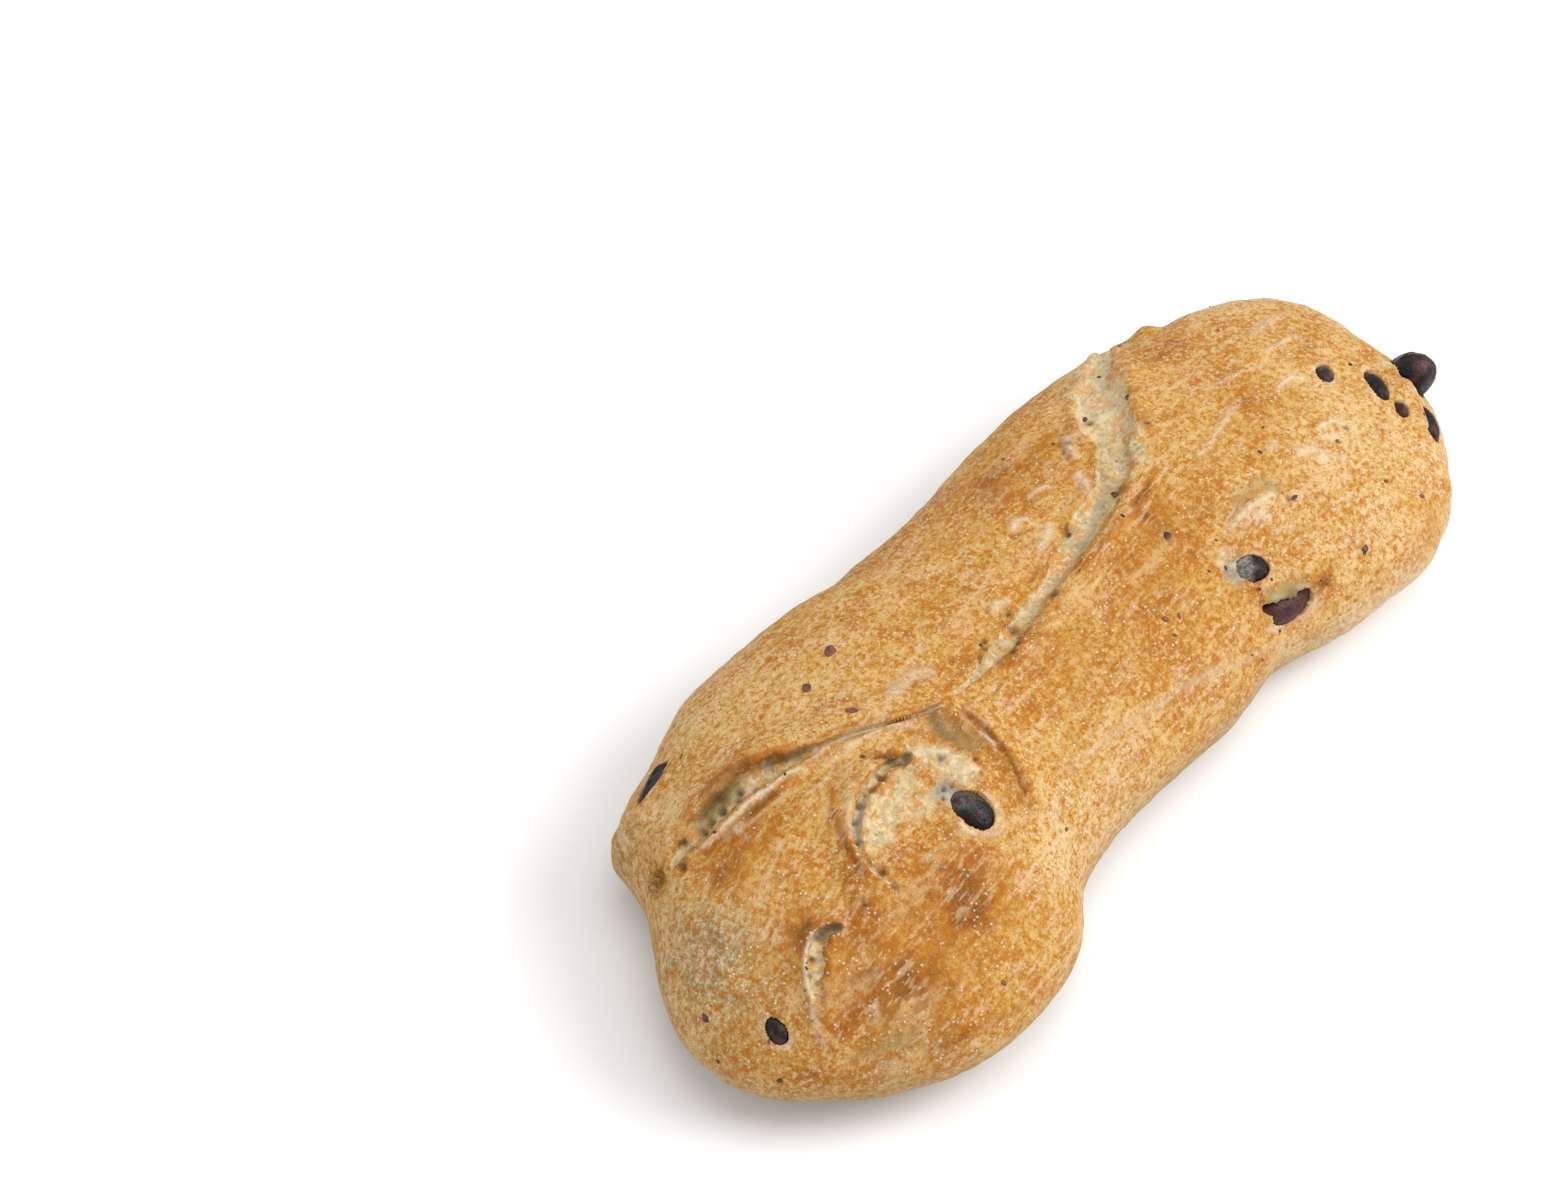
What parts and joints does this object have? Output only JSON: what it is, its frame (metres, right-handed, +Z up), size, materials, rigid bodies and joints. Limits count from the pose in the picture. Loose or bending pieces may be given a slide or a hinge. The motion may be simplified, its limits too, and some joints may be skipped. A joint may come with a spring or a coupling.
{
  "type": "olive stick bread",
  "caption": "Long rustic bread loaf, broad at one end and waisted in the middle, torn open along a split and a fold, with black olives baked into its crust.",
  "frame": {"origin": "middle of the whole bread's bounding box in plan, on the surface that it lies on", "axes": "+Z up; X along the loaf's length, with the broad lobe at -X; +Y to the side where the long flap of dough is rolled over"},
  "size_m": [0.25, 0.1128, 0.0452],
  "materials": {
    "crust": "baked, floury, dull",
    "olive": "moist, oily shine"
  },
  "bodies": {
    "root": {"loaf": "crust", "olive_front": "olive", "olive_front_small": "olive", "olive_left_flank": "olive", "olive_right_flank": "olive", "olive_under_lip": "olive", "olive_far_top": "olive", "olive_far_middle": "olive", "olive_far_brown": "olive", "olive_far_out": "olive", "olive_far_low": "olive"}
  },
  "joints": []
}
